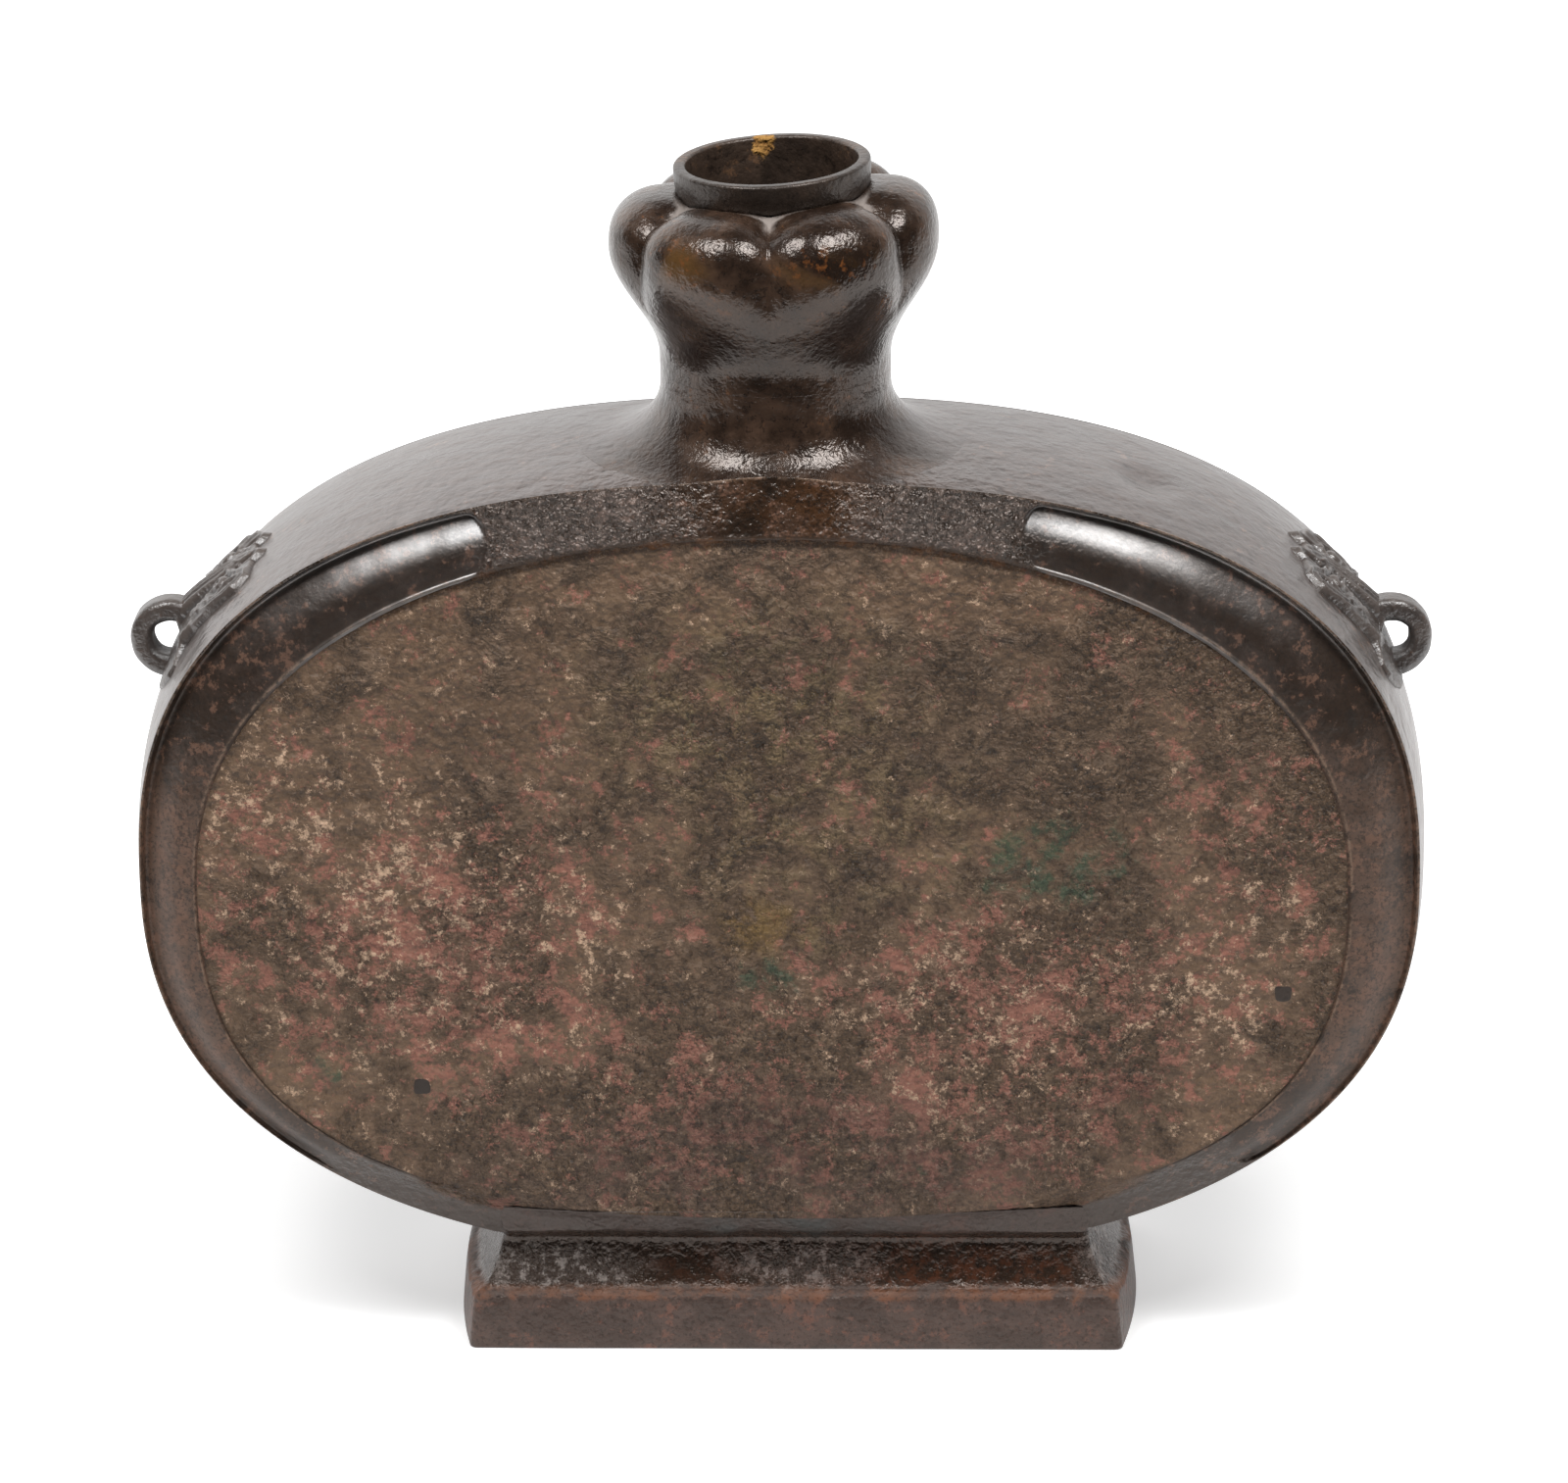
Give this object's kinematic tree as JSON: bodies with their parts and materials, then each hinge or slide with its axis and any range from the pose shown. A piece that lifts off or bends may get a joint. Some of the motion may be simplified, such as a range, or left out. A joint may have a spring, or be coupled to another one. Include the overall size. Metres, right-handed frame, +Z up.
{
  "type": "garlic-head bottle",
  "caption": "Flat oval bronze flask with side grooves, animal-mask shoulder loops, a lobed garlic-shaped mouth and a rectangular foot.",
  "frame": {"origin": "on the table under the middle of the flask, at the bottom of its foot", "axes": "+X across the two oval faces towards the right, +Y from the front face to the back one, +Z up through the mouth"},
  "size_m": [0.3176, 0.0774, 0.2963],
  "materials": {
    "body_bronze": "dark patinated cast bronze, mottled brown with reddish and pale specks on the faces, greyer and smoother on the walls",
    "neck_bronze": "dark brown, softly glossy patinated bronze",
    "head_bronze": "dark brown-black, glossy patinated bronze",
    "collar_bronze": "dark patinated bronze with a pale ochre deposit inside the mouth",
    "foot_bronze": "brown patinated bronze with reddish worn edges",
    "mask_bronze": "grey-brown patinated bronze with dark hollows",
    "loop_bronze": "brown patinated bronze, rubbed smooth outside and rough inside",
    "chaplet_bronze": "darker bronze with a dull patina"
  },
  "bodies": {
    "root": {"body_shell": "body_bronze", "neck": "neck_bronze", "garlic_head": "head_bronze", "mouth_collar": "collar_bronze", "foot": "foot_bronze", "mask_left": "mask_bronze", "mask_right": "mask_bronze", "loop_left": "loop_bronze", "loop_right": "loop_bronze", "chaplet_left": "chaplet_bronze", "chaplet_right": "chaplet_bronze"}
  },
  "joints": []
}
